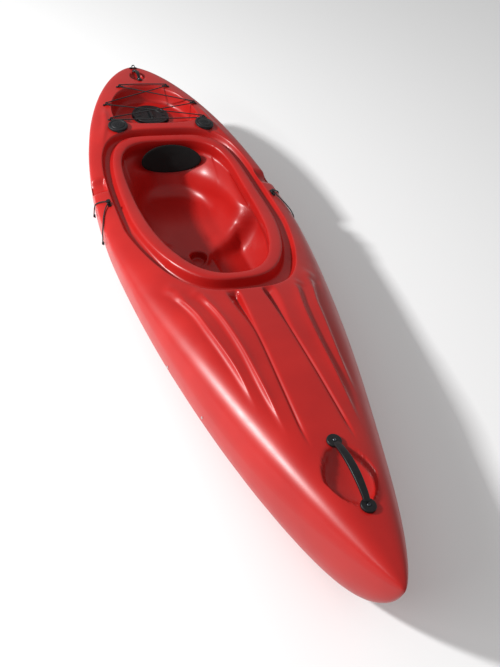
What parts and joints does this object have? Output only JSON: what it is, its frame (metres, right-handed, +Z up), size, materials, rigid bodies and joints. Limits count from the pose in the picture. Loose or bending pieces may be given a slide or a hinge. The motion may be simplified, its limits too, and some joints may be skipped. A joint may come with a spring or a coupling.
{
  "type": "kayak",
  "caption": "Sit-inside recreational kayak: one-piece moulded hull, deck and seat, carry handles, bungee tank well with hatch, capped rod holders, paddle cords and sliding foot pegs.",
  "frame": {"origin": "centre of the bounding box on the ground, on the flat of the keel at mid length", "axes": "+X to the bow, +Y to port, +Z up"},
  "size_m": [3, 0.8518, 0.3844],
  "materials": {
    "hull_plastic": "rotationally moulded polyethylene, smooth and slightly waxy",
    "black_plastic": "black moulded nylon",
    "rubber": "soft black rubber",
    "steel": "stainless steel",
    "brass": "plain turned brass",
    "cord": "black braided sheath over a rubber core",
    "foam": "closed-cell foam"
  },
  "bodies": {
    "hull": {"hull_shell": "hull_plastic", "hatch_gasket": "rubber", "hatch_ring": "black_plastic", "hatch_screws": "steel", "bow_handle": "black_plastic", "bow_handle_bolts": "steel", "bow_handle_inserts": "brass", "stern_handle": "black_plastic", "stern_handle_bolts": "steel", "stern_handle_inserts": "brass", "stern_tow_eye": "black_plastic", "stern_tow_eye_screws": "steel", "rod_holder_left": "black_plastic", "rod_holder_right": "black_plastic", "rod_gasket_left": "rubber", "rod_gasket_right": "rubber", "rod_screws_left": "steel", "rod_screws_right": "steel", "pad_eye_aft_left": "black_plastic", "pad_eye_aft_right": "black_plastic", "pad_eye_mid_left": "black_plastic", "pad_eye_mid_right": "black_plastic", "pad_eye_fore_left": "black_plastic", "pad_eye_fore_right": "black_plastic", "pad_eye_screws": "steel", "tank_well_bungee": "cord", "bungee_knots": "cord", "paddle_hook_left": "black_plastic", "paddle_hook_right": "black_plastic", "paddle_hook_screws": "steel", "paddle_cord_left": "cord", "paddle_cord_right": "cord", "paddle_cord_eye_left": "black_plastic", "paddle_cord_eye_right": "black_plastic", "foot_rail_left": "black_plastic", "foot_rail_right": "black_plastic", "foot_rail_bolts": "steel", "foot_rail_washers": "steel", "foot_rail_nuts": "steel", "back_pad": "foam"},
    "hatch_lid": {"hatch_cover": "black_plastic", "hatch_o_ring": "rubber"},
    "rod_cap_left": {"rod_cap_left": "rubber"},
    "rod_cap_right": {"rod_cap_right": "rubber"},
    "foot_peg_left": {"foot_peg_left": "black_plastic"},
    "foot_peg_right": {"foot_peg_right": "black_plastic"}
  },
  "joints": [
    {"name": "hatch_lift", "type": "slide", "parent": "hull", "child": "hatch_lid", "axis": [0, 0, 1], "range_m": [0, 0.12]},
    {"name": "rod_cap_left_flip", "type": "hinge", "parent": "hull", "child": "rod_cap_left", "pos_m": [-0.88478, 0.20744, 0.34593], "axis": [-0.0069, 0.9958, -0.0914], "range_deg": [0, 95]},
    {"name": "rod_cap_right_flip", "type": "hinge", "parent": "hull", "child": "rod_cap_right", "pos_m": [-0.88478, -0.20744, 0.34593], "axis": [0.0069, 0.9958, 0.0914], "range_deg": [0, 95]},
    {"name": "foot_peg_left_slide", "type": "slide", "parent": "hull", "child": "foot_peg_left", "axis": [0.9867, -0.1625, 0], "range_m": [-0.1, 0.1]},
    {"name": "foot_peg_right_slide", "type": "slide", "parent": "hull", "child": "foot_peg_right", "axis": [0.9867, 0.1625, 0], "range_m": [-0.1, 0.1]}
  ]
}
